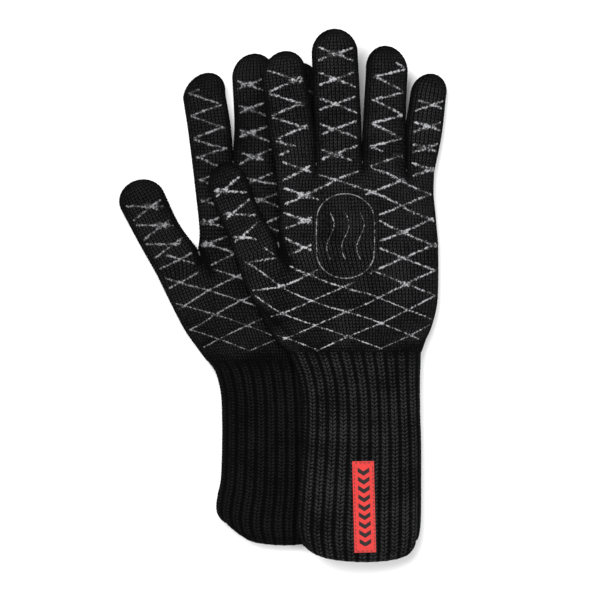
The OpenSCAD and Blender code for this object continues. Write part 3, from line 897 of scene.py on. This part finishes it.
def in_oval(x, y, centre, half_w, half_l):
    over = max(abs(y - centre[1]) - max(half_l - half_w, 0), 0)
    return math.hypot(x - centre[0], over) < half_w


def emblem_size(glove):
    low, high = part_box(glove["side"] + "_emblem")
    return (high[0] - low[0]) / 2 / MM, (high[1] - low[1]) / 2 / MM


def printable(glove, piece, face, x, y, found):
    """Whether a piece's grip lines reach this point of its surface."""
    point, _, name = found
    if name != piece or abs(point.z) < (5.2 if piece == "palm" else 4.6):
        return False
    if piece != "palm":
        return math.dist((x, y), glove[piece][-1]) > TIP_CLEAR
    half_w, half_l = glove["oval"]
    return face != glove["up"] or not in_oval(x, y, glove["emblem"], half_w + 2.2, half_l + 2.2)


def piece_bounds(drawn, piece):
    parts = [drawn["lower"], drawn["upper"]] if piece == "palm" else [drawn["digits"][piece]]
    points = np.concatenate([p[..., :2].reshape(-1, 2) for p in parts])
    return points.min(0), points.max(0)


def grip_scale(glove, y):
    """The grip is finer over the heel of the hand than over the fingers."""
    return HEEL_GRIP + (1 - HEEL_GRIP) * smooth((y - glove["grid_end"]) / HEEL_REACH)


def make_grip(glove, drawn, skin):
    side = glove["side"]
    for piece in ["palm", *DIGITS]:
        low, high = piece_bounds(drawn, piece)
        strips = {1: [], -1: []}
        for face in (1, -1):
            keep = lambda x, y, found: printable(glove, piece, face, x, y, found)
            for line in lattice_lines(glove):
                path = on_hand(glove, piece, line)
                path = path[(np.isnan(path) | ((path > low) & (path < high))).all(1)]
                for run in surface_runs(skin, path, face, keep):
                    width = GRIP_W * grip_scale(glove, np.array([found[0].y for found in run]))
                    strips[face].append(ribbon(run, width, GRIP_H))
            for crossing in crossings(glove):
                x, y = on_hand(glove, piece, crossing[None])[0]
                if math.isnan(x) or crossing[1] < glove["grid_end"] + GRID_Y:
                    continue
                around = [skin.find(x + dx, y, face) for dx in (-2.5, 0, 2.5)]
                if all(f and keep(x, y, f) for f in around):
                    strips[face].append(blob(skin, x, y, face, grip_scale(glove, y)))
            strips[face] = [s for s in strips[face] if s is not None]
        if piece == "palm":
            for face, node in ((glove["up"], "palm_grip_front"), (-glove["up"], "palm_grip_back")):
                obj = strips_mesh(f"{side}_{node}_lines", glove, strips[face], GRIP[side])
                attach(stand_for(obj, glove, node), side + "_palm")
        else:
            obj = strips_mesh(f"{side}_{piece}_grip_lines", glove, strips[1] + strips[-1], GRIP[side])
            stand_for(obj, glove, piece + "_grip")
            blend_digit(obj, glove, piece)


def make_emblem(glove, skin):
    """An oval ring round three upright heat waves, in the palm's silicone."""
    side, face = glove["side"], glove["up"]
    half_w, half_l = glove["oval"]
    cx, cy = glove["emblem"]
    turn = np.linspace(0, 2 * math.pi, 260)
    straight = (half_l - half_w) * np.clip(4 * np.sin(turn), -1, 1)
    radius = half_w - 0.7
    paths = [np.stack([cx + radius * np.cos(turn), cy + radius * np.sin(turn) + straight], -1)]
    up = np.linspace(-15, 15, 52)
    for x in (-9, 0, 9):
        paths.append(np.stack([cx + x + 2.2 * np.sin(up / 15 * math.pi), cy + up], -1))
    strips = [ribbon([skin.find(x, y, face) for x, y in path], EMBLEM_W, 0.4, 0.9) for path in paths]
    obj = strips_mesh(side + "_emblem_lines", glove, strips, EMBLEM)
    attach(stand_for(obj, glove, "emblem"), side + "_palm")


# ---- label ----

def label_place(glove):
    """The flat centre and half sizes of the label, from its CAD box."""
    low, high = (np.array(c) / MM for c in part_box(glove["side"] + "_label"))
    centre, half = (low + high) / 2, (high - low) / 2
    slope = droop(glove, np.array([centre[0]]))[1][0]
    centre[0] -= glove["up"] * CUFF_T * math.sin(math.atan(slope))
    half[0] /= math.cos(math.atan(slope))
    return centre, half


def make_label(glove, skin):
    """A flat woven tape laid on the ribs, and the stitches that hold its edges."""
    side, face = glove["side"], glove["up"]
    centre, half = label_place(glove)
    lean, base, thick = math.radians(1.3), RIB_H * 0.9, 0.45

    def at(s, t, rise):
        x = centre[0] + s * half[0] - t * half[1] * math.sin(lean)
        y = centre[1] + t * half[1]
        found = skin.find(x, y, face)
        level = (found[0].z + skin.find(centre[0], y, face)[0].z) / 2
        return [x, y, level + face * (base + rise + 0.1 * math.sin(5 * t + s))]

    s_values = [-1, -1, *np.linspace(-0.97, 0.97, 10), 1, 1]
    s_rise = [-1.4, thick - 0.1, *[thick] * 10, thick - 0.1, -1.4]
    t_values = [-1, -1, *np.linspace(-0.99, 0.99, 50), 1, 1]
    t_rise = [-1.4, thick - 0.1, *[thick] * 50, thick - 0.1, -1.4]
    rows = [[at(s, t, min(a, b)) for s, a in zip(s_values, s_rise)] for t, b in zip(t_values, t_rise)]
    across = [(s + 1) / 2 for s in s_values]
    obj = strips_mesh(side + "_label_tape", glove, [(np.array(rows)[:, ::face], across[::face])], LABEL)
    stand_for(obj, glove, "label")
    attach(obj, side + "_cuff")
    lines = [((e, t0), (e, t0 + 0.05)) for e in (-0.86, 0.86) for t0 in np.arange(-0.95, 0.9, 0.085)]
    lines += [((s0, e), (s0 + 0.26, e)) for e in (-0.965, 0.965) for s0 in np.arange(-0.8, 0.7, 0.4)]
    strips = []
    for start, end in lines:
        spots = np.linspace(start, end, 6)
        run = [(Vector(at(s, t, thick - GRIP_LIFT + 0.05)), Vector((0, 0, face))) for s, t in spots]
        strips.append(ribbon(run, 0.6, 0.25, 0.0))
    obj = strips_mesh(side + "_label_thread", glove, strips, THREAD)
    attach(stand_for(obj, glove, "label_stitching"), side + "_cuff")


# ---- scene ----

def make_stage():
    bpy.ops.mesh.primitive_plane_add(size=6)
    floor = bpy.context.object
    floor.name = "floor"
    floor.location.z = -0.8 * MM
    n = Nodes("floor_white")
    n.set(Base_Color=n.ramp(n.noise(3.0), [(0.0, (0.86, 0.86, 0.86)), (1.0, (0.9, 0.9, 0.9))]), Roughness=0.7)
    floor.data.materials.append(n.material)
    world = bpy.data.worlds.new("studio")
    world.use_nodes = True
    world.node_tree.nodes["Background"].inputs["Color"].default_value = (1, 1, 1, 1)
    world.node_tree.nodes["Background"].inputs["Strength"].default_value = 0.2
    bpy.context.scene.world = world
    bpy.context.scene.view_settings.view_transform = "Standard"
    lights = (("key", (-0.45, 0.65, 1.9), 58, 1.1), ("fill", (0.6, -0.5, 1.9), 26, 0.9))
    for name, spot, power, size in lights:
        light = bpy.data.lights.new(name, "AREA")
        light.energy = power
        light.size = size
        obj = bpy.data.objects.new(name, light)
        obj.location = spot
        obj.rotation_euler = (-Vector(spot)).to_track_quat("-Z", "Y").to_euler()
        bpy.context.scene.collection.objects.link(obj)


def make_camera():
    """Straight above, with the framing of a product picture."""
    low, high = (np.array(c) for c in cad_box)
    view_width = 0.390
    lens, sensor = 200.0, 36.0
    camera = bpy.data.cameras.new("camera")
    camera.lens = lens
    camera.sensor_width = sensor
    obj = bpy.data.objects.new("camera", camera)
    centre = (low + high) / 2
    obj.location = (centre[0] + 0.0117, centre[1] - 0.0033, centre[2] + view_width * lens / sensor)
    bpy.context.scene.collection.objects.link(obj)
    bpy.context.scene.camera = obj


for glove in (RIGHT, LEFT):
    glove["level"] = middle_height(glove)
    glove["oval"] = emblem_size(glove)
    drawn = draw_glove(glove, columns_for, COURSE / COURSE_ROWS)
    make_knit(glove, drawn)
    make_cuff(glove, drawn)
    make_lining(glove)
    skin = Skin(glove, drawn)
    make_grip(glove, drawn, skin)
    make_emblem(glove, skin)
    make_label(glove, skin)

make_stage()
make_camera()
